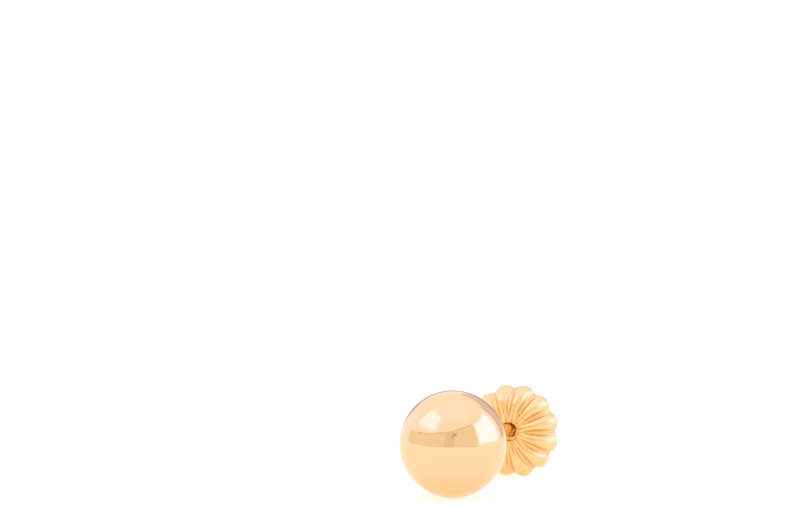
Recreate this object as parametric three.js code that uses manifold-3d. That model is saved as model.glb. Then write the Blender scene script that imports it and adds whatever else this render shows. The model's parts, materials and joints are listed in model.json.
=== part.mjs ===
// Ball stud earring with a large push back: a hollow gold ball soldered to a round post, and a fluted,
// flower-shaped back that slides on the post and grips it with two rolled scrolls.
// Millimetres, +Z up. The earring lies on z = 0 as it does by itself, on the ball and two petals of the back.

import * as THREE from "three";
import { mergeVertices } from "three/addons/utils/BufferGeometryUtils.js";
import Module from "manifold-3d";

const wasm = await Module();
wasm.setup();

// Driving dimensions. Both pieces are built in the post's own frame: the ball's centre is the origin
// and the post runs along +Y.
const BALL = { radius: 4, wall: 0.3 };
const VENT = { radius: 0.25, offAxis: 1.3 }; // lets the solder gas out of the hollow ball, under the post
const POST = { radius: 0.45, tip: 15, tipFlatRadius: 0.22, solderFillet: 0.3 };
const PETALS = 12;
const SHEET = {
  thickness: 0.25,
  petalRadius: 0.88, // a petal's rounded end is an arc of this radius
  petalCentre: 2.64, // at this distance from the sheet's axis
  drop: 0.18, // how far below the post's axis the sheet is soldered, so that the post is high in its hole
};
// The pressed sheet's section from the hole's edge to the rim, along the valley between two petals and along
// a petal's ridge. radius: from the sheet's axis. at: from the ball's centre, along the post.
const SECTION = [
  { valley: { radius: 0.72, at: 12.1 }, ridge: { radius: 0.72, at: 12.06 } },
  { valley: { radius: 1.1, at: 12.12 }, ridge: { radius: 1.12, at: 11.98 } },
  { valley: { radius: 1.6, at: 12.28 }, ridge: { radius: 1.7, at: 11.93 } },
  { valley: { radius: 2.1, at: 12.55 }, ridge: { radius: 2.35, at: 12.03 } },
  { valley: { radius: 2.55, at: 12.88 }, ridge: { radius: 2.9, at: 12.35 } },
  { valley: { radius: 2.88, at: 13.22 }, ridge: { radius: 3.32, at: 12.88 } },
  { valley: { radius: 3.1, at: 13.6 }, ridge: { radius: 3.52, at: 13.6 } },
];
const STRIP = {
  thickness: 0.25,
  width: 1.8,
  plateAt: 12.505, // the flat middle of the strip, soldered to the backs of the valleys
  holeRadius: 0.48,
  scrollRadius: 0.72, // of the strip's centre line
  scrollEndRadius: 0.4,
  scrollEndTurn: 1.9 * Math.PI, // how far round the roll goes from where it leaves the plate
  gripGap: 0.02, // running clearance between a scroll and the post
};

// How finely the round shapes are divided
const SPHERE_RINGS = 24;
const LATHE_SIDES = 48;
const CAVITY_SIDES = 24;
const FILLET_STEPS = 3;
const PETAL_STEPS = 8;
const SHEET_STEPS = 10;
const SCROLL_STEPS = 22;

const gold = new THREE.MeshStandardMaterial({ color: 0xf2c98f, roughness: 0.12, metalness: 1 });

// A closed three.js geometry as a manifold-3d solid, and back again.
function solid(geometry) {
  geometry.deleteAttribute("normal");
  geometry.deleteAttribute("uv");
  const merged = mergeVertices(geometry);
  return new wasm.Manifold(
    new wasm.Mesh({
      numProp: 3,
      vertProperties: merged.attributes.position.array,
      triVerts: new Uint32Array(merged.index.array),
    }),
  );
}

function geometryOf(manifold) {
  const { vertProperties, triVerts } = manifold.getMesh();
  const geometry = new THREE.BufferGeometry();
  geometry.setAttribute("position", new THREE.BufferAttribute(vertProperties, 3));
  geometry.setIndex(new THREE.BufferAttribute(triVerts, 1));
  geometry.computeVertexNormals();
  return geometry;
}

// Points on a circular arc in a lathe's half plane, from one angle to another.
function arc(centre, radius, from, to, steps) {
  return Array.from({ length: steps + 1 }, (_, i) => {
    const angle = THREE.MathUtils.lerp(from, to, i / steps);
    return new THREE.Vector2(radius * Math.cos(angle), radius * Math.sin(angle)).add(centre);
  });
}

// The ball and the post are turned as one outline: ball, solder fillet, post, rounded tip.
function ballAndPost() {
  const { radius: ball } = BALL;
  const { radius: post, tip, tipFlatRadius, solderFillet: fillet } = POST;
  const filletCentre = new THREE.Vector2(
    post + fillet,
    Math.sqrt((ball + fillet) ** 2 - (post + fillet) ** 2),
  );
  const ballEnd = filletCentre.angle();
  const rounding = post - tipFlatRadius;
  const outline = [
    new THREE.Vector2(0, -ball),
    ...arc(new THREE.Vector2(), ball, -Math.PI / 2, ballEnd, SPHERE_RINGS).slice(1),
    ...arc(filletCentre, fillet, ballEnd + Math.PI, Math.PI, FILLET_STEPS).slice(1),
    ...arc(new THREE.Vector2(tipFlatRadius, tip - rounding), rounding, 0, Math.PI / 2, FILLET_STEPS),
    new THREE.Vector2(0, tip),
  ];
  const sideDown = Math.PI / LATHE_SIDES; // turned half a side, so that the ball rests on a flat side
  const turned = solid(new THREE.LatheGeometry(outline, LATHE_SIDES, sideDown));
  const cavity = solid(new THREE.SphereGeometry(ball - BALL.wall, CAVITY_SIDES, CAVITY_SIDES / 2));
  const vent = new THREE.CylinderGeometry(VENT.radius, VENT.radius, ball, 12);
  vent.translate(0, ball, -VENT.offAxis);
  return geometryOf(turned.subtract(cavity).subtract(solid(vent)));
}

// How far the scalloped rim reaches from the sheet's axis, at an angle off a petal's middle line.
function rimRadius(offPetal) {
  const { petalCentre: centre, petalRadius: radius } = SHEET;
  return centre * Math.cos(offPetal) + Math.sqrt(radius ** 2 - (centre * Math.sin(offPetal)) ** 2);
}

const halfPetal = Math.PI / PETALS;
const splineThrough = (points) =>
  new THREE.SplineCurve(points.map((p) => new THREE.Vector2(p.radius, p.at)));
const valleyCurve = splineThrough(SECTION.map((s) => s.valley));
const ridgeCurve = splineThrough(SECTION.map((s) => s.ridge));

// A point of the sheet's front. along: 0 at the hole to 1 at the rim. angle: round the post, from +Z.
// Across a petal the sheet rises from the valley to the ridge as the rim's arc does.
function sheetPoint(along, angle) {
  const offPetal = (((angle % (2 * halfPetal)) + 2 * halfPetal) % (2 * halfPetal)) - halfPetal;
  const rise = (rimRadius(offPetal) - rimRadius(halfPetal)) / (rimRadius(0) - rimRadius(halfPetal));
  const { x: radius, y: at } = valleyCurve.getPoint(along).lerp(ridgeCurve.getPoint(along), rise);
  return new THREE.Vector3(radius * Math.sin(angle), at, radius * Math.cos(angle));
}

// The unit normal of the sheet's front, towards the ball. In a valley it is the mean of the two sides'.
function sheetNormal(along, angle) {
  const step = 0.01;
  const outwards = sheetPoint(Math.min(along + step, 1), angle).sub(
    sheetPoint(Math.max(along - step, 0), angle),
  );
  const around = sheetPoint(along, angle + step).sub(sheetPoint(along, angle - step));
  const normal = outwards.cross(around).normalize();
  return normal.y > 0 ? normal.negate() : normal;
}

// The fluted sheet is a ring: at each angle its section runs out along the front and back along the rear.
function flutedSheet() {
  const turns = PETALS * PETAL_STEPS;
  const loop = 2 * (SHEET_STEPS + 1);
  const positions = [];
  const index = [];
  for (let i = 0; i < turns; i++) {
    const angle = (2 * Math.PI * i) / turns;
    for (let j = 0; j < loop; j++) {
      const front = j <= SHEET_STEPS;
      const along = (front ? j : loop - 1 - j) / SHEET_STEPS;
      const point = sheetPoint(along, angle);
      if (!front) point.addScaledVector(sheetNormal(along, angle), -SHEET.thickness);
      positions.push(...point);
    }
  }
  for (let i = 0; i < turns; i++) {
    const next = (i + 1) % turns;
    for (let j = 0; j < loop; j++) {
      const [a, b] = [i * loop + j, next * loop + j];
      const [c, d] = [i * loop + ((j + 1) % loop), next * loop + ((j + 1) % loop)];
      index.push(a, b, c, b, d, c);
    }
  }
  const geometry = new THREE.BufferGeometry();
  geometry.setAttribute("position", new THREE.Float32BufferAttribute(positions, 3));
  geometry.setIndex(index);
  return geometry;
}

// One half of the strip's centre line, in x and y: out along the plate, then rolled back towards the
// post, which it grips a half turn and a quarter later, and in to the middle of the roll.
function scrollLine() {
  const { thickness, plateAt, scrollRadius, scrollEndRadius, scrollEndTurn, gripGap } = STRIP;
  const centre = new THREE.Vector2(
    POST.radius + gripGap + thickness / 2 + scrollRadius,
    plateAt + scrollRadius,
  );
  const gripTurn = 1.5 * Math.PI;
  return Array.from({ length: SCROLL_STEPS + 1 }, (_, i) => {
    const turn = (scrollEndTurn * i) / SCROLL_STEPS;
    const closing = THREE.MathUtils.smoothstep(turn, gripTurn, scrollEndTurn);
    const radius = THREE.MathUtils.lerp(scrollRadius, scrollEndRadius, closing);
    const angle = turn - Math.PI / 2;
    return new THREE.Vector2(radius * Math.cos(angle), radius * Math.sin(angle)).add(centre);
  });
}

// The strip behind the sheet, rolled into a scroll on each side of the post.
function scrolledStrip() {
  const half = scrollLine();
  const mirrored = half.map((p) => new THREE.Vector2(-p.x, p.y)).reverse();
  const line = [...mirrored, ...half];
  const side = (sign) =>
    line.map((point, i) => {
      const before = line[Math.max(i - 1, 0)];
      const after = line[Math.min(i + 1, line.length - 1)];
      const along = after.clone().sub(before).normalize();
      const across = new THREE.Vector2(-along.y, along.x);
      return point.clone().addScaledVector(across, (sign * STRIP.thickness) / 2);
    });
  const outline = new THREE.Shape([...side(-1), ...side(1).reverse()]);
  const strip = new THREE.ExtrudeGeometry(outline, { depth: STRIP.width, bevelEnabled: false });
  return strip.translate(0, 0, -STRIP.width / 2);
}

// The back: the sheet and the strip soldered together, with the post's hole through the strip's plate.
function earBack() {
  const hole = new THREE.CylinderGeometry(STRIP.holeRadius, STRIP.holeRadius, 2 * STRIP.thickness, 32);
  hole.translate(0, STRIP.plateAt, 0);
  const sheet = flutedSheet().translate(0, 0, -SHEET.drop);
  return geometryOf(solid(sheet).add(solid(scrolledStrip()).subtract(solid(hole))));
}

// How far the post tips down, in radians, before the lowest petals touch the surface under the ball.
function restingTilt(geometry) {
  const { array } = geometry.attributes.position;
  let tilt = Math.PI / 2;
  for (let i = 0; i < array.length; i += 3) {
    const [along, below] = [array[i + 1], -array[i + 2]];
    if (below > 0) {
      const touching = Math.asin(BALL.radius / Math.hypot(along, below)) - Math.atan2(below, along);
      tilt = Math.min(tilt, touching);
    }
  }
  return tilt;
}

const stud = new THREE.Mesh(ballAndPost(), gold);
stud.name = "ball_and_post";
const back = new THREE.Mesh(earBack(), gold);
back.name = "ear_back";

const earring = new THREE.Group();
earring.add(stud, back);
earring.rotation.x = -restingTilt(back.geometry);

// The origin is on the surface, under the middle of the earring's box.
const box = new THREE.Box3().setFromObject(earring, true);
const middle = box.getCenter(new THREE.Vector3());
earring.position.set(-middle.x, -middle.y, -box.min.z);

export default earring;
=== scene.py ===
"""Looks of a gold ball stud earring on a light table: a polished ball on its post, with a push back.

Both visible pieces are built in the post's own frame, in millimetres: the ball's centre is the origin and the
post runs along +Y. to_row_matrix then places them in the row frame, in metres.
"""

import json
import math

import bmesh
import bpy
import numpy as np
from mathutils import Matrix, Vector

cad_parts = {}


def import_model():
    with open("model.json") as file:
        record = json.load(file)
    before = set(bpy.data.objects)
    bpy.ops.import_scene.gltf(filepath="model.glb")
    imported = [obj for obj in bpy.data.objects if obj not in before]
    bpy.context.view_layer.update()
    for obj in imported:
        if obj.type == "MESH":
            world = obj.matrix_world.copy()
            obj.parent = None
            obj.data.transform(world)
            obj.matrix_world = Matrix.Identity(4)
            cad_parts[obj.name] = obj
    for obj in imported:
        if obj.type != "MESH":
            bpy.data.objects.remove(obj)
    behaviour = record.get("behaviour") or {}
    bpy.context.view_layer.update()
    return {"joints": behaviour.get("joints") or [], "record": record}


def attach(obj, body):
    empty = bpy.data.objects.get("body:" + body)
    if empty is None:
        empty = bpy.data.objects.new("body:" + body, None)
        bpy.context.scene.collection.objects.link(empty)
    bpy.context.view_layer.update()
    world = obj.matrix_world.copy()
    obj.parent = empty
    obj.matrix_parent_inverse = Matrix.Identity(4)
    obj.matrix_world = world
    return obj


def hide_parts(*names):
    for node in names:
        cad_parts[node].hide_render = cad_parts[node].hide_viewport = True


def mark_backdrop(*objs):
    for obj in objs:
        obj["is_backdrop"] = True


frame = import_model()

MM = 0.001

# The earring's sizes, in millimetres
BALL_RADIUS = 4.0
BALL_WALL = 0.3
VENT_RADIUS = 0.25
VENT_OFF_AXIS = 1.3
POST_RADIUS = 0.45
POST_TIP = 15.0
TIP_FLAT_RADIUS = 0.22
SOLDER_FILLET = 0.3
PETALS = 12
HALF_PETAL = math.pi / PETALS
SHEET_THICKNESS = 0.25
HOLE_RADIUS = 0.72
PETAL_RADIUS = 0.88
PETAL_CENTRE = 2.64
RIM_RADIUS = PETAL_CENTRE + PETAL_RADIUS
SHEET_DROP = 0.18  # how far below the post's axis the sheet is soldered
# The pressed sheet's section from the hole's edge to the rim, along a valley and along a petal's ridge
VALLEY_RADIUS = (0.72, 1.1, 1.6, 2.1, 2.55, 2.88, 3.1)
VALLEY_AT = (12.1, 12.12, 12.28, 12.55, 12.88, 13.22, 13.6)
RIDGE_RADIUS = (0.72, 1.12, 1.7, 2.35, 2.9, 3.32, 3.52)
RIDGE_AT = (12.06, 11.98, 11.93, 12.03, 12.35, 12.88, 13.6)
STRIP_THICKNESS = 0.25
STRIP_WIDTH = 1.8
PLATE_AT = 12.505
PLATE_HOLE_RADIUS = 0.465
SCROLL_RADIUS = 0.72
SCROLL_END_RADIUS = 0.4
SCROLL_END_TURN = 1.9 * math.pi
GRIP_GAP = 0.02

# The camera: degrees round the ball and above the table, millimetres elsewhere
CAMERA_AZIMUTH = 20.0
CAMERA_ELEVATION = 7.25
CAMERA_DISTANCE = 1400.0
VIEW_WIDTH = 59.3
BALL_RIGHT_OF_VIEW = 3.92
BALL_BELOW_VIEW = 13.35
SENSOR = 36.0

# ---------------------------------------------------------------- places

along = Vector(frame["joints"][0]["axis"]).normalized()
tip = Vector(frame["record"]["mounts"][0]["pos_m"])
ball_centre = tip - along * POST_TIP * MM
across = Vector((1, 0, 0))
to_row_matrix = Matrix.Translation(ball_centre) @ Matrix(
    (
        (across.x, along.x, across.cross(along).x, 0),
        (across.y, along.y, across.cross(along).y, 0),
        (across.z, along.z, across.cross(along).z, 0),
        (0, 0, 0, 1),
    )
) @ Matrix.Scale(MM, 4)


def mesh_object(name, points, faces):
    mesh = bpy.data.meshes.new(name)
    mesh.from_pydata([tuple(p) for p in points], [], faces)
    mesh.validate()
    mesh.shade_smooth()
    piece = bpy.data.objects.new(name, mesh)
    bpy.context.scene.collection.objects.link(piece)
    return piece


def ring_of_loops(loops, closed=True):
    """Faces between neighbouring loops of points. closed joins the last loop to the first."""
    count, size = loops.shape[:2]
    faces = []
    for i in range(count if closed else count - 1):
        here, there = i * size, ((i + 1) % count) * size
        for j in range(size):
            k = (j + 1) % size
            faces.append((here + j, there + j, there + k, here + k))
    return faces


def cut(piece, tool, operation="DIFFERENCE"):
    """Joins or cuts piece with tool, which is used up."""
    modifier = piece.modifiers.new("cut", "BOOLEAN")
    modifier.operation = operation
    modifier.solver = "MANIFOLD"
    modifier.object = tool
    bpy.context.view_layer.update()
    result = bpy.data.meshes.new_from_object(piece.evaluated_get(bpy.context.evaluated_depsgraph_get()))
    piece.modifiers.clear()
    piece.data = result
    bpy.data.objects.remove(tool)
    return piece


def finish_piece(piece, body, node, material):
    piece.data.transform(to_row_matrix)
    piece.data.materials.clear()
    piece.data.materials.append(material)
    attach(piece, body)
    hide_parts(node)
    return piece


# ---------------------------------------------------------------- the ball and post


def add_values(piece, name, values):
    """Stores a number for each point, which the material reads by name."""
    kind = "FLOAT" if values.ndim == 1 else "FLOAT_VECTOR"
    made = piece.data.attributes.new(name, kind, "POINT")
    made.data.foreach_set("value" if kind == "FLOAT" else "vector", values.astype(np.float32).ravel())


def points_of(piece):
    points = np.empty(len(piece.data.vertices) * 3)
    piece.data.vertices.foreach_get("co", points)
    return points.reshape(-1, 3)


def mark_solder(piece):
    """Marks the soldered root and the wire: solder is 1 at the post's root and fades along the post and
    the ball, and wire is 1 on the post."""
    x, y, z = points_of(piece).T
    from_root = np.hypot(np.hypot(x, z) - POST_RADIUS, y - BALL_RADIUS)
    add_values(piece, "solder", np.exp(-((from_root / (1.5 * SOLDER_FILLET)) ** 2)))
    add_values(piece, "wire", np.clip((y - BALL_RADIUS) / SOLDER_FILLET, 0, 1))
    return piece



def arc(centre, radius, start, end, steps):
    angles = np.linspace(start, end, steps + 1)
    return np.stack([centre[0] + radius * np.cos(angles), centre[1] + radius * np.sin(angles)], 1)


def turned(name, outline, sides):
    """A solid of revolution about +Y. outline holds (radius, along) from the front pole to the back one."""
    poles = outline[0], outline[-1]
    rings = outline[1:-1]
    angles = np.arange(sides) * 2 * math.pi / sides
    points = [(0, poles[0][1], 0), (0, poles[1][1], 0)]
    for radius, at in rings:
        points += [(radius * math.sin(a), at, radius * math.cos(a)) for a in angles]
    faces = []
    last = 2 + (len(rings) - 1) * sides
    for j in range(sides):
        k = (j + 1) % sides
        faces.append((0, 2 + k, 2 + j))
        faces.append((1, last + j, last + k))
        for i in range(len(rings) - 1):
            a, b = 2 + i * sides, 2 + (i + 1) * sides
            faces.append((a + j, a + k, b + k, b + j))
    return mesh_object(name, points, faces)


def ball_and_post():
    reach = BALL_RADIUS + SOLDER_FILLET
    off = POST_RADIUS + SOLDER_FILLET
    fillet_centre = (off, math.sqrt(reach**2 - off**2))
    ball_end = math.atan2(fillet_centre[1], fillet_centre[0])
    rounding = POST_RADIUS - TIP_FLAT_RADIUS
    tip_centre = (TIP_FLAT_RADIUS, POST_TIP - rounding)
    outline = np.concatenate(
        [
            arc((0, 0), BALL_RADIUS, -math.pi / 2, ball_end, 160),
            arc(fillet_centre, SOLDER_FILLET, ball_end + math.pi, math.pi, 14)[1:],
            [(POST_RADIUS, at) for at in np.linspace(fillet_centre[1], tip_centre[1], 42)[1:-1]],
            arc(tip_centre, rounding, 0, math.pi / 2, 12),
            [(TIP_FLAT_RADIUS * 0.5, POST_TIP), (0, POST_TIP)],
        ]
    )
    outline[0] = (0, -BALL_RADIUS)
    piece = turned("ball_and_post_gold", outline, 192)
    cavity_outline = arc((0, 0), BALL_RADIUS - BALL_WALL, -math.pi / 2, math.pi / 2, 40)
    cut(piece, turned("cavity", cavity_outline, 64))
    vent = [(0, 0), (VENT_RADIUS, 0), (VENT_RADIUS, 1.5 * BALL_RADIUS), (0, 1.5 * BALL_RADIUS)]
    drill = turned("vent", np.array(vent), 48)
    drill.data.transform(Matrix.Translation((0, 0, -VENT_OFF_AXIS)))
    return mark_solder(cut(piece, drill))


# ---------------------------------------------------------------- the push back


def through(values, t):
    """A uniform Catmull-Rom curve through values, at t from 0 to 1."""
    values = np.asarray(values, float)
    padded = np.concatenate([values[:1], values, values[-1:]])
    place = np.clip(t, 0, 1) * (len(values) - 1)
    i = np.minimum(place.astype(int), len(values) - 2)
    f = place - i
    p0, p1, p2, p3 = (padded[i + k] for k in range(4))
    v0, v1 = (p2 - p0) / 2, (p3 - p1) / 2
    return (2 * p1 - 2 * p2 + v0 + v1) * f**3 + (-3 * p1 + 3 * p2 - 2 * v0 - v1) * f**2 + v0 * f + p1


VALLEY_FLOOR = 0.17  # share of a half petal that the valley's flat floor takes up


def rim_radius(off_petal):
    return PETAL_CENTRE * np.cos(off_petal) + np.sqrt(
        PETAL_RADIUS**2 - (PETAL_CENTRE * np.sin(off_petal)) ** 2
    )


def rise(off_petal):
    """Up to 1 on a petal's ridge, as the rim's arc rises. The valley has a flat floor about a third of the way
    up from where the arcs would meet, at 0, with a very slight dip along the floor's edge."""
    low, high = rim_radius(HALF_PETAL), rim_radius(0)
    u = np.abs(off_petal) / HALF_PETAL
    turn = 1 - VALLEY_FLOOR
    step = 0.01

    def above_meeting(share):
        return (rim_radius(np.minimum(share, turn) * HALF_PETAL) - low) / (high - low)

    side = above_meeting(u)
    slope = (side - above_meeting(u - step)) / step
    dip = 1 - (np.minimum(1 - u, VALLEY_FLOOR) / VALLEY_FLOOR) ** 2
    return side + slope * dip * VALLEY_FLOOR / 2


def sheet_point(t, angle):
    """Points on the sheet's front, t from 0 at the hole to 1 at the rim, angle round the post from +Z."""
    share = rise(np.mod(angle, 2 * HALF_PETAL) - HALF_PETAL)
    r = through(VALLEY_RADIUS, t) * (1 - share) + through(RIDGE_RADIUS, t) * share
    y = through(VALLEY_AT, t) * (1 - share) + through(RIDGE_AT, t) * share
    return np.stack([r * np.sin(angle), y, r * np.cos(angle)], -1)


def sheet_frame(t, angle):
    """The front's point, its unit normal towards the ball and its unit direction out to the rim."""
    dt, da = 0.004, 0.0015
    outwards = sheet_point(np.minimum(t + dt, 1), angle) - sheet_point(np.maximum(t - dt, 0), angle)
    around = sheet_point(t, angle + da) - sheet_point(t, angle - da)
    normal = np.cross(outwards, around)
    normal /= np.linalg.norm(normal, axis=-1, keepdims=True)
    normal *= -np.sign(normal[..., 1:2])
    outwards /= np.linalg.norm(outwards, axis=-1, keepdims=True)
    return sheet_point(t, angle), normal, outwards


def fluted_sheet():
    """The pressed sheet, its hole's and rim's edges rounded, as loops that run out along the front and back
    along the rear. Steps round the post crowd together at the valleys."""
    steps = 32
    within = HALF_PETAL * np.sin(np.linspace(-math.pi / 2, math.pi / 2, steps + 1)[:-1])
    angles = np.concatenate([within + (2 * k + 1) * HALF_PETAL for k in range(PETALS)])
    half = SHEET_THICKNESS / 2
    margin = 0.036  # the share of the section that the rounded edge takes up
    t = np.linspace(margin, 1 - margin, 64)
    turn = np.linspace(0, math.pi, 9)[1:-1]
    grid_t, grid_a = np.meshgrid(t, angles)
    front, normal, outwards = sheet_frame(grid_t, grid_a)
    middle = front - normal * half
    rim, hole = middle[:, -1:], middle[:, :1]
    c, s = np.cos(turn)[None, :, None], np.sin(turn)[None, :, None]
    rim_edge = rim + half * (normal[:, -1:] * c + outwards[:, -1:] * s)
    hole_edge = hole + half * (-normal[:, :1] * c - outwards[:, :1] * s)
    back = (front - 2 * half * normal)[:, ::-1]
    loops = np.concatenate([front, rim_edge, back, hole_edge], 1)
    return mesh_object("ear_back_gold", loops.reshape(-1, 3), ring_of_loops(loops))


def scroll_line():
    """The strip's centre line in x and y: one roll, from its end, then the plate and the other roll."""
    from_post = POST_RADIUS + GRIP_GAP + STRIP_THICKNESS / 2 + SCROLL_RADIUS
    centre = np.array([from_post, PLATE_AT + SCROLL_RADIUS])
    turn = np.linspace(0, SCROLL_END_TURN, 90)
    closing = np.clip((turn - 1.5 * math.pi) / (SCROLL_END_TURN - 1.5 * math.pi), 0, 1)
    closing = closing**2 * (3 - 2 * closing)
    radius = SCROLL_RADIUS + (SCROLL_END_RADIUS - SCROLL_RADIUS) * closing
    angle = turn - math.pi / 2
    half = centre + np.stack([radius * np.cos(angle), radius * np.sin(angle)], 1)
    plate = np.stack([np.linspace(-centre[0], centre[0], 24)[1:-1], np.full(22, PLATE_AT)], 1)
    return np.concatenate([(half * [-1, 1])[::-1], plate, half])


def scrolled_strip():
    """The strip, swept along its centre line with rounded edges and closed ends."""
    line = scroll_line()
    tangent = np.gradient(line, axis=0)
    tangent /= np.linalg.norm(tangent, axis=1, keepdims=True)
    across_line = np.stack([-tangent[:, 1], tangent[:, 0]], 1)
    rounding = 0.06
    section = []
    for sx, sz, start in ((1, 1, 0), (-1, 1, 1), (-1, -1, 2), (1, -1, 3)):
        for a in np.linspace(start, start + 1, 5) * math.pi / 2:
            section.append(
                (
                    sx * (STRIP_THICKNESS / 2 - rounding) + rounding * math.cos(a),
                    sz * (STRIP_WIDTH / 2 - rounding) + rounding * math.sin(a),
                )
            )
    section = np.array(section)
    n = len(section)
    loops = np.zeros((len(line), n, 3))
    loops[..., 0] = line[:, None, 0] + across_line[:, None, 0] * section[None, :, 0]
    loops[..., 1] = line[:, None, 1] + across_line[:, None, 1] * section[None, :, 0]
    loops[..., 2] = section[None, :, 1]
    faces = ring_of_loops(loops, closed=False)
    faces.append(tuple(range(n)))
    faces.append(tuple((len(line) - 1) * n + j for j in reversed(range(n))))
    return mesh_object("strip", loops.reshape(-1, 3), faces)


def face_outwards(piece):
    work = bmesh.new()
    work.from_mesh(piece.data)
    bmesh.ops.recalc_face_normals(work, faces=work.faces)
    work.to_mesh(piece.data)
    work.free()
    return piece


def mark_press(piece):
    """Marks where each point of the pressed sheet lies: press is (round the post, out from it, along it),
    outwards goes from 0 at the hole to 1 at the rim, and valley does so along the bottoms between petals."""
    x, y, z = points_of(piece).T
    z = z + SHEET_DROP
    angle, radius = np.arctan2(x, z), np.hypot(x, z)
    off = np.abs(np.mod(angle, 2 * HALF_PETAL) - HALF_PETAL) / HALF_PETAL
    on_sheet = np.clip((radius - HOLE_RADIUS) / (RIM_RADIUS - HOLE_RADIUS), 0, 1)
    add_values(piece, "press", np.stack([angle * RIM_RADIUS, radius, y], 1))
    add_values(piece, "valley", off**6 * on_sheet**0.5)
    add_values(piece, "outwards", on_sheet)
    return piece


def ear_back():
    sheet = face_outwards(fluted_sheet())
    strip = face_outwards(scrolled_strip())
    hole = np.array([(0, 0), (PLATE_HOLE_RADIUS, 0), (PLATE_HOLE_RADIUS, 1), (0, 1)], float)
    punch = turned("punch", hole, 64)
    punch.data.transform(Matrix.Translation((0, PLATE_AT - 0.5, 0)))
    cut(strip, face_outwards(punch))
    sheet.data.transform(Matrix.Translation((0, 0, -SHEET_DROP)))
    return mark_press(cut(sheet, strip, "UNION"))


# ---------------------------------------------------------------- materials

POLISHED_COLOUR = (0.93, 0.63, 0.34)
POLISHED_SHADE = (0.93, 0.615, 0.325)
SOLDER_COLOUR = (0.85, 0.5, 0.24)
PRESSED_COLOUR = (0.95, 0.655, 0.32)
# Painted shade: the sheet's colour turns deeper orange from the rim in to the hole
HOLE_PAINTED_SHADE = (0.95, 0.59, 0.215)
PRESSED_SHADE = (0.94, 0.61, 0.27)
# Painted shade: the valleys between petals are coloured darker and browner
VALLEY_PAINTED_SHADE = (0.78, 0.44, 0.16)
# Roughness: that of the polish and of the pressed sheet, and what the other finishes add to it
POLISHED_ROUGHNESS = 0.025
SCRATCH_ROUGHNESS = 0.06
WIRE_ROUGHNESS = 0.2
SOLDER_ROUGHNESS = 0.1
PRESSED_ROUGHNESS = (0.26, 0.34)
VALLEY_ROUGHNESS = 0.1
# Depths of the bumps, in metres
WAVE_DEPTH = 4e-6
SCRATCH_DEPTH = 1.2e-7
DENT_DEPTH = 2.5e-5
DRAWN_LINE_DEPTH = 1.2e-6


class Graph:
    """A small helper that adds nodes to a material and links them."""

    def __init__(self, name):
        self.material = bpy.data.materials.new(name)
        self.material.use_nodes = True
        self.tree = self.material.node_tree
        self.shader = self.tree.nodes["Principled BSDF"]

    def add(self, kind, **settings):
        node = self.tree.nodes.new(kind)
        inputs = settings.pop("inputs", {})
        for key, value in settings.items():
            setattr(node, key, value)
        for key, value in inputs.items():
            if isinstance(value, bpy.types.NodeSocket):
                self.tree.links.new(value, node.inputs[key])
            else:
                node.inputs[key].default_value = value
        return node

    def link(self, source, target):
        self.tree.links.new(source, target)


def math_node(g, operation, first, second, third=None):
    inputs = {0: first, 1: second}
    if third is not None:
        inputs[2] = third
    return g.add("ShaderNodeMath", operation=operation, inputs=inputs).outputs[0]


def noise(g, place, scale, detail=2.0, stretch=(1, 1, 1)):
    """Noise with features of 1 / scale of place's unit, stretched along an axis whose factor is under 1."""
    mapped = g.add("ShaderNodeMapping", inputs={"Vector": place, "Scale": stretch}).outputs[0]
    return g.add(
        "ShaderNodeTexNoise", inputs={"Vector": mapped, "Scale": scale, "Detail": detail}
    ).outputs["Fac"]


def spread(g, value, low, high, to_low, to_high):
    return g.add(
        "ShaderNodeMapRange",
        inputs={"Value": value, "From Min": low, "From Max": high, "To Min": to_low, "To Max": to_high},
    ).outputs["Result"]


def blend_colours(g, share, first, second):
    mix = g.add("ShaderNodeMix", data_type="RGBA")
    g.link(share, mix.inputs[0])
    for socket, value in ((mix.inputs[6], first), (mix.inputs[7], second)):
        if isinstance(value, bpy.types.NodeSocket):
            g.link(value, socket)
        else:
            socket.default_value = (*value, 1)
    return mix.outputs[2]


def bump(g, height, distance, below=None):
    inputs = {"Height": height, "Distance": distance, "Strength": 1.0}
    if below is not None:
        inputs["Normal"] = below
    return g.add("ShaderNodeBump", inputs=inputs).outputs[0]


def polished_gold():
    """Mirror-polished gold: slow waves from the polishing wheel, hairline handling scratches in patches,
    a duller, redder tint where the post is soldered on, and a softer gloss on the post's drawn wire."""
    g = Graph("polished_gold")
    place = g.add("ShaderNodeTexCoord").outputs["Object"]
    solder = g.add("ShaderNodeAttribute", attribute_name="solder").outputs["Fac"]
    wire = g.add("ShaderNodeAttribute", attribute_name="wire").outputs["Fac"]
    tone = noise(g, place, 260, 3)
    colour = blend_colours(g, spread(g, tone, 0.35, 0.65, 0, 1), POLISHED_COLOUR, POLISHED_SHADE)
    colour = blend_colours(g, math_node(g, "MULTIPLY", solder, 0.5), colour, SOLDER_COLOUR)
    g.link(colour, g.shader.inputs["Base Color"])
    scratches = spread(g, noise(g, place, 9000, 1, (1, 0.03, 0.5)), 0.68, 0.74, 0, 1)
    crossing = spread(g, noise(g, place, 8000, 1, (0.03, 0.8, 1)), 0.68, 0.74, 0, 1)
    hairlines = math_node(g, "MAXIMUM", scratches, crossing)
    patches = spread(g, noise(g, place, 700, 2), 0.45, 0.6, 0.2, 1)
    worn = math_node(g, "MULTIPLY", hairlines, patches)
    roughness = math_node(g, "MULTIPLY_ADD", worn, SCRATCH_ROUGHNESS, POLISHED_ROUGHNESS)
    roughness = math_node(g, "MULTIPLY_ADD", wire, WIRE_ROUGHNESS, roughness)
    g.link(math_node(g, "MULTIPLY_ADD", solder, SOLDER_ROUGHNESS, roughness), g.shader.inputs["Roughness"])
    g.shader.inputs["Metallic"].default_value = 1
    waves = bump(g, noise(g, place, 330, 1), WAVE_DEPTH)
    g.link(bump(g, worn, SCRATCH_DEPTH, waves), g.shader.inputs["Normal"])
    return g.material


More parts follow.
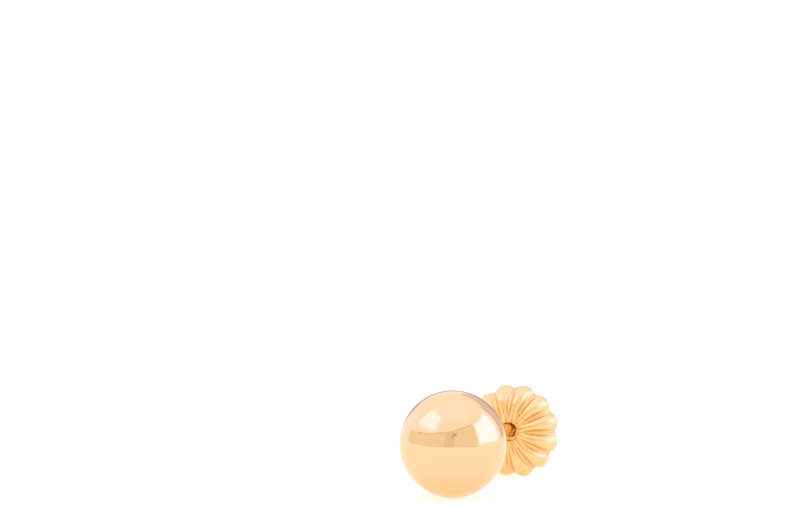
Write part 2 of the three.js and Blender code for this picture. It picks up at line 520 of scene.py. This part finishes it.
def pressed_gold():
    """Pressed sheet gold, bright but softer than the ball: burnished ridges, duller valleys with painted shade
    that darkens them browner, painted shade that turns the sheet deeper orange towards the hole, fine lines
    drawn outwards by the die, and a slight unevenness from petal to petal."""
    g = Graph("pressed_gold")
    place = g.add("ShaderNodeTexCoord").outputs["Object"]
    press = g.add("ShaderNodeAttribute", attribute_name="press").outputs["Vector"]
    valley = g.add("ShaderNodeAttribute", attribute_name="valley").outputs["Fac"]
    outwards = g.add("ShaderNodeAttribute", attribute_name="outwards").outputs["Fac"]
    # Painted shade, deeper orange towards the hole
    hole_shaded = blend_colours(g, outwards, HOLE_PAINTED_SHADE, PRESSED_COLOUR)
    mottled = spread(g, noise(g, place, 900, 3), 0.4, 0.65, 0, 0.5)
    colour = blend_colours(g, mottled, hole_shaded, PRESSED_SHADE)
    # Painted shade darkens the valleys
    colour = blend_colours(g, math_node(g, "MULTIPLY", valley, 0.5), colour, VALLEY_PAINTED_SHADE)
    g.link(colour, g.shader.inputs["Base Color"])
    drawn = noise(g, press, 16, 3, (1, 0.08, 0.3))
    rough = spread(g, drawn, 0.3, 0.7, *PRESSED_ROUGHNESS)
    g.link(math_node(g, "MULTIPLY_ADD", valley, VALLEY_ROUGHNESS, rough), g.shader.inputs["Roughness"])
    g.shader.inputs["Metallic"].default_value = 1
    dents = bump(g, noise(g, press, 1.6, 1), DENT_DEPTH)
    g.link(bump(g, drawn, DRAWN_LINE_DEPTH, dents), g.shader.inputs["Normal"])
    return g.material


# ---------------------------------------------------------------- the studio

DOME_RADIUS = 1.2
RIPPLE = 5.0  # how far, in degrees, the cloth panels' edges wander up and down
TABLE_GLOW = 0.86
TABLE_WARM = (1.0, 0.92, 0.76)  # the light that the gold throws on the table under it
TABLE_WARM_REACH = 6.5 * MM


def floor():
    size = 2 * DOME_RADIUS
    corners = [(-size, -size, 0), (size, -size, 0), (size, size, 0), (-size, size, 0)]
    sheet = mesh_object("light_table", corners, [(0, 1, 2, 3)])
    g = Graph("light_table")
    place = g.add("ShaderNodeTexCoord").outputs["Object"]
    back = ball_centre + along * RIDGE_AT[-1] * MM

    def away_from(point):
        under = (point.x, point.y, 0)
        node = g.add("ShaderNodeVectorMath", operation="DISTANCE", inputs={0: place, 1: under})
        return node.outputs["Value"]

    nearest = math_node(g, "MINIMUM", away_from(ball_centre), away_from(back))
    glow = spread(g, nearest, 0, TABLE_WARM_REACH, 1, 0)
    g.link(blend_colours(g, glow, (1, 1, 1), TABLE_WARM), g.shader.inputs["Emission Color"])
    g.shader.inputs["Base Color"].default_value = (0.25, 0.25, 0.25, 1)
    g.shader.inputs["Roughness"].default_value = 0.9
    g.shader.inputs["Specular IOR Level"].default_value = 0.1
    g.shader.inputs["Emission Strength"].default_value = TABLE_GLOW
    sheet.data.materials.append(g.material)
    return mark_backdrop(sheet)


# Panels of the light tent, each laid over the ones before it. Angles are in degrees: east is measured from
# the camera's direction, and up is above the table and rises by slope for each degree east. soft is the width
# of the edge's fade. The brightest lights are blue, so that gold reflects them as cream.
TENT = (1.08, 1.13, 1.3)
PANELS = (
    dict(name="overhead", east=(-180, 180), up=(58, 95), slope=0, soft=22, light=(1.15, 1.19, 1.46)),
    dict(name="softbox", east=(-108, -44), up=(32, 63), slope=0, soft=14, light=(1.4, 1.46, 2.2)),
    dict(name="left_wing", east=(-145, -105), up=(-5, 60), slope=0, soft=18, light=(1.12, 1.17, 1.45)),
    dict(name="front_cloth", east=(-112, 56), up=(-5, 36), slope=0.18, soft=2.5, light=(0.98, 0.94, 0.88)),
    dict(name="front_hem", east=(-88, 56), up=(33.5, 36), slope=0.18, soft=1.5, light=(0.88, 0.79, 0.7)),
    dict(name="photographer", east=(-19, 3), up=(-5, 33), slope=0.1, soft=4, light=(0.9, 0.84, 0.72)),
    dict(name="lens", east=(-3, 9), up=(21, 28), slope=0.3, soft=3, light=(0.74, 0.62, 0.47)),
    dict(name="window", east=(60, 119), up=(3, 42), slope=0, soft=8, light=(1.5, 1.53, 2.5)),
    dict(name="table_edge", east=(24, 60), up=(-5, 2.5), slope=0, soft=1.5, light=(0.9, 0.85, 0.78)),
    dict(name="right_wing", east=(119, 134), up=(-5, 45), slope=0, soft=10, light=(1.1, 1.15, 1.5)),
    dict(name="back_cloth", east=(130, 172), up=(-5, 38), slope=0, soft=8, light=(0.82, 0.75, 0.83)),
    dict(name="back_gap", east=(156, 204), up=(2, 16), slope=0, soft=10, light=(0.52, 0.46, 0.55)),
)


def degrees(g, angle):
    return g.add("ShaderNodeMath", operation="DEGREES", inputs={0: angle}).outputs[0]


def fade(g, value, nothing, full):
    """From 0 to 1 as value goes from nothing to full, eased at both ends."""
    bounds = {"Value": value, "From Min": nothing, "From Max": full}
    return g.add("ShaderNodeMapRange", interpolation_type="SMOOTHSTEP", inputs=bounds).outputs[0]


def inside(g, value, low, high, soft):
    rising = fade(g, value, low - soft / 2, low + soft / 2)
    falling = fade(g, value, high + soft / 2, high - soft / 2)
    return math_node(g, "MULTIPLY", rising, falling)


def tent():
    """A dome of soft light round the table, for the polished metal to reflect. The camera sees through it."""
    bpy.ops.mesh.primitive_uv_sphere_add(segments=96, ring_count=48, radius=DOME_RADIUS)
    dome = bpy.context.object
    dome.name = "light_tent"
    g = Graph("light_tent")
    place = g.add("ShaderNodeTexCoord").outputs["Object"]
    unit = g.add("ShaderNodeVectorMath", operation="NORMALIZE", inputs={0: place}).outputs[0]
    angle = -math.radians(CAMERA_AZIMUTH)
    turned_tent = g.add(
        "ShaderNodeVectorRotate", rotation_type="Z_AXIS", inputs={"Vector": unit, "Angle": angle}
    ).outputs[0]
    xyz = g.add("ShaderNodeSeparateXYZ", inputs={0: turned_tent}).outputs
    towards_front = math_node(g, "MULTIPLY", xyz["Y"], -1.0)
    east = degrees(g, math_node(g, "ARCTAN2", xyz["X"], towards_front))
    up = degrees(g, g.add("ShaderNodeMath", operation="ARCSINE", inputs={0: xyz["Z"]}).outputs[0])
    ripple = g.add("ShaderNodeTexNoise", inputs={"Vector": unit, "Scale": 2.5, "Detail": 2.0}).outputs["Fac"]
    up = math_node(g, "MULTIPLY_ADD", ripple, RIPPLE, math_node(g, "SUBTRACT", up, RIPPLE / 2))
    east_again = math_node(g, "ADD", east, 360.0)
    light = TENT
    for panel in PANELS:
        low, high = panel["east"]
        columns = inside(g, east, low, high, panel["soft"])
        if high > 180:
            wrapped = inside(g, east_again, low, high, panel["soft"])
            columns = math_node(g, "MAXIMUM", columns, wrapped)
        level = math_node(g, "MULTIPLY_ADD", east, -panel["slope"], up)
        rows = inside(g, level, *panel["up"], panel["soft"])
        light = blend_colours(g, math_node(g, "MULTIPLY", columns, rows), light, panel["light"])
    glow = g.add("ShaderNodeEmission", inputs={"Color": light, "Strength": 1.0})
    g.link(glow.outputs[0], g.tree.nodes["Material Output"].inputs["Surface"])
    dome.data.materials.append(g.material)
    dome.location = (ball_centre.x, ball_centre.y, 0)
    dome.visible_camera = False
    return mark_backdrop(dome)


def world():
    made = bpy.data.worlds.new("white")
    bpy.context.scene.world = made
    made.use_nodes = True
    background = made.node_tree.nodes["Background"]
    background.inputs["Color"].default_value = (1, 1, 1, 1)
    background.inputs["Strength"].default_value = 1.05


def camera():
    azimuth, elevation = math.radians(CAMERA_AZIMUTH), math.radians(CAMERA_ELEVATION)
    back = Vector(
        (
            math.sin(azimuth) * math.cos(elevation),
            -math.cos(azimuth) * math.cos(elevation),
            math.sin(elevation),
        )
    )
    right = Vector((math.cos(azimuth), math.sin(azimuth), 0))
    aim = ball_centre + (BALL_BELOW_VIEW * back.cross(right) - BALL_RIGHT_OF_VIEW * right) * MM
    data = bpy.data.cameras.new("camera")
    data.sensor_width = SENSOR
    data.lens = SENSOR * CAMERA_DISTANCE / VIEW_WIDTH
    data.clip_start, data.clip_end = 0.01, 10
    shot = bpy.data.objects.new("camera", data)
    bpy.context.scene.collection.objects.link(shot)
    shot.location = ball_centre + back * CAMERA_DISTANCE * MM
    shot.rotation_mode = "QUATERNION"
    shot.rotation_quaternion = (aim - shot.location).to_track_quat("-Z", "Y")
    bpy.context.scene.camera = shot


camera()
world()
floor()
tent()
finish_piece(face_outwards(ball_and_post()), "stud", "ball_and_post", polished_gold())
finish_piece(ear_back(), "back", "ear_back", pressed_gold())

view = bpy.context.scene.view_settings
view.view_transform = "Standard"
view.look = "None"
